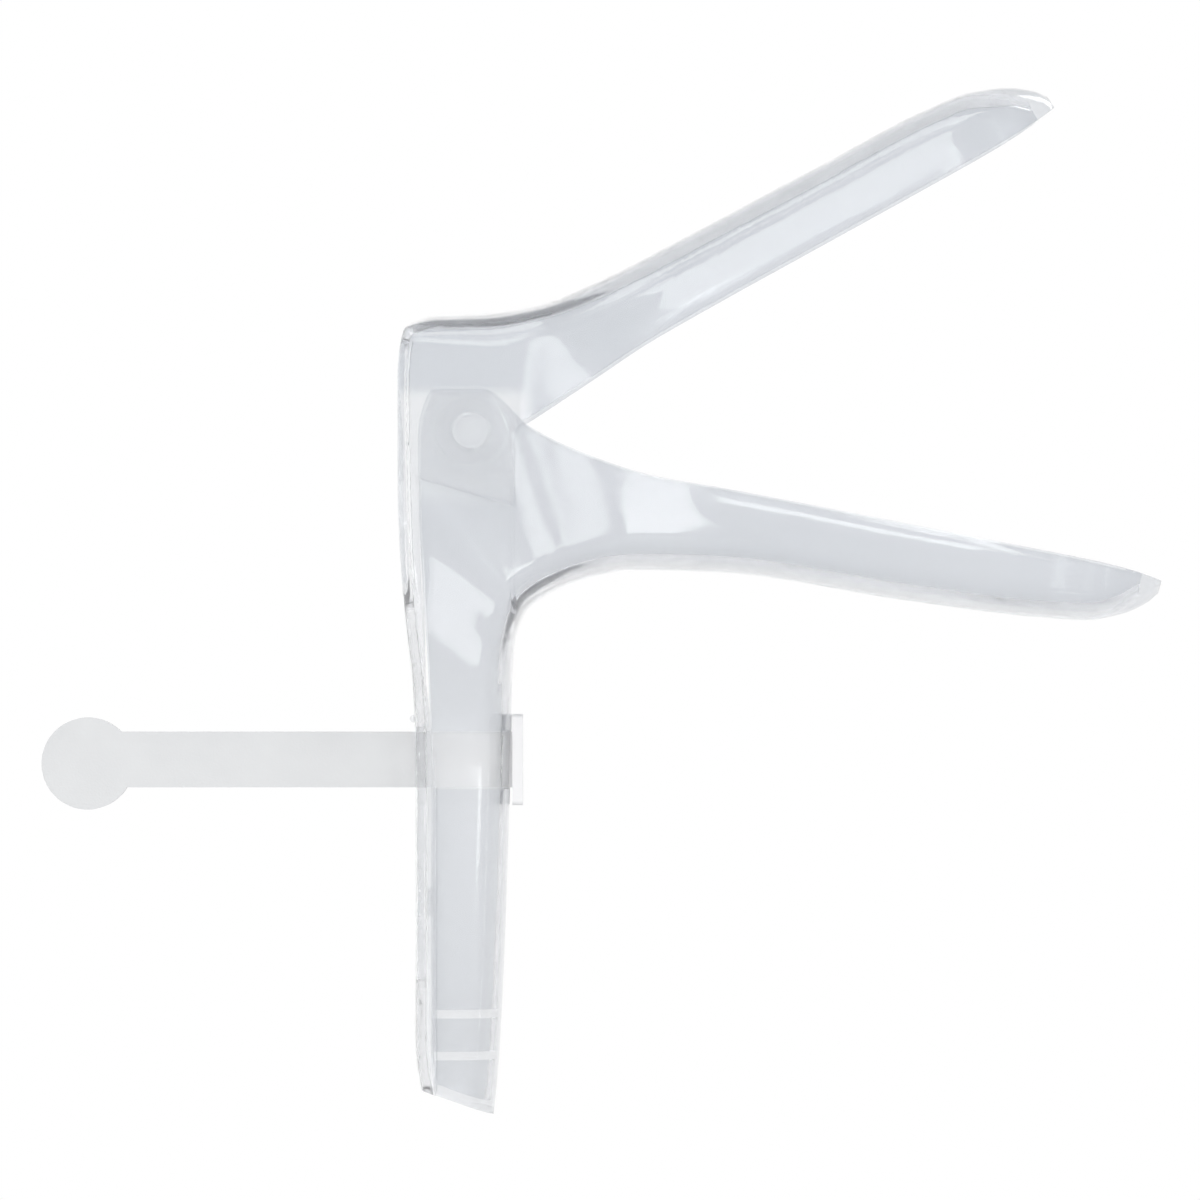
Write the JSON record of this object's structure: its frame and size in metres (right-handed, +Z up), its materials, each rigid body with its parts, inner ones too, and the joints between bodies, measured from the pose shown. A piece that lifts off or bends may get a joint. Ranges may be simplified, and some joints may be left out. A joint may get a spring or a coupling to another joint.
{
  "type": "bivalve speculum",
  "caption": "Clear moulded bivalve speculum: fixed blade with hollow handle, hinged blade with yoke and lever, flat locking bar with round knob.",
  "frame": {"origin": "middle of the hinge axis, which is also the middle of the viewing aperture", "axes": "+X from the user towards the blade tips, +Z up from the handle to the upper blade, +Y to the left of the user along the hinge axis"},
  "size_m": [0.1956, 0.0434, 0.1795],
  "materials": {
    "clear_lower": "clear polystyrene, polished moulding",
    "clear_upper": "clear polystyrene, polished moulding",
    "white_bar": "white polypropylene, fine satin"
  },
  "bodies": {
    "lower_blade": {"lower_blade": "clear_lower"},
    "upper_blade": {"upper_blade": "clear_upper"},
    "locking_bar": {"locking_bar": "white_bar"}
  },
  "joints": [
    {"name": "blade_hinge", "type": "hinge", "parent": "lower_blade", "child": "upper_blade", "pos_m": [0, 0, 0], "axis": [0, 1, 0], "range_deg": [0, 40]},
    {"name": "bar_slide", "type": "slide", "parent": "lower_blade", "child": "locking_bar", "axis": [1, 0, 0], "range_m": [0, 0.045]}
  ]
}
